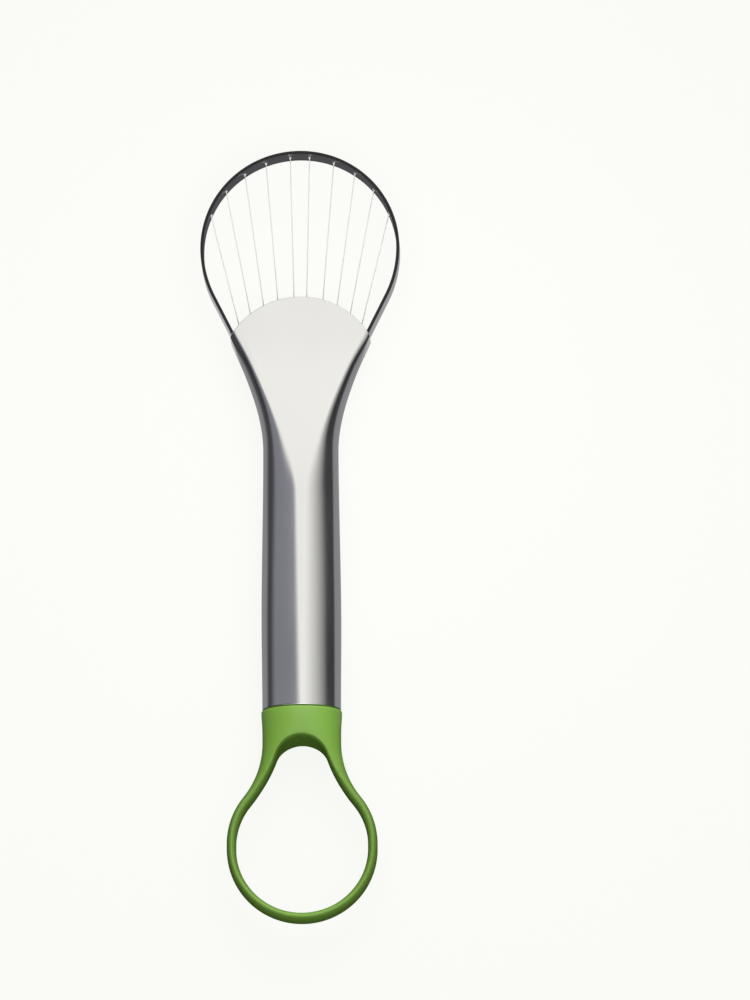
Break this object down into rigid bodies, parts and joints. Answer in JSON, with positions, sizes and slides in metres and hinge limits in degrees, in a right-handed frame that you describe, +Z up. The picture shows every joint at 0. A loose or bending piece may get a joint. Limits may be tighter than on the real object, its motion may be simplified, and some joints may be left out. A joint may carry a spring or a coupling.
{
  "type": "avocado slicer",
  "caption": "Hand slicer for soft fruit: a steel hoop strung with fine wires, set in the flared scoop mouth of an oval steel handle, with a moulded open loop at the end.",
  "frame": {"origin": "on the resting plane, under the middle of the overall length and width", "axes": "+Y along the handle towards the hoop, +X across, +Z up out of the face shown in the picture"},
  "size_m": [0.062, 0.245, 0.021],
  "materials": {
    "handle_steel": "satin stainless steel",
    "strip_steel": "satin stainless strip",
    "wire_steel": "drawn stainless wire",
    "crimp_steel": "crimped stainless sleeve",
    "green_plastic": "satin moulded plastic"
  },
  "bodies": {
    "root": {"handle_tube": "handle_steel", "hoop_frame": "strip_steel", "loop_end": "green_plastic", "wire_01": "wire_steel", "wire_02": "wire_steel", "wire_03": "wire_steel", "wire_04": "wire_steel", "wire_05": "wire_steel", "wire_06": "wire_steel", "wire_07": "wire_steel", "wire_08": "wire_steel", "wire_09": "wire_steel", "wire_10": "wire_steel", "wire_ferrule_01": "crimp_steel", "wire_ferrule_02": "crimp_steel", "wire_ferrule_03": "crimp_steel", "wire_ferrule_04": "crimp_steel", "wire_ferrule_05": "crimp_steel", "wire_ferrule_06": "crimp_steel", "wire_ferrule_07": "crimp_steel", "wire_ferrule_08": "crimp_steel", "wire_ferrule_09": "crimp_steel", "wire_ferrule_10": "crimp_steel"}
  },
  "joints": []
}
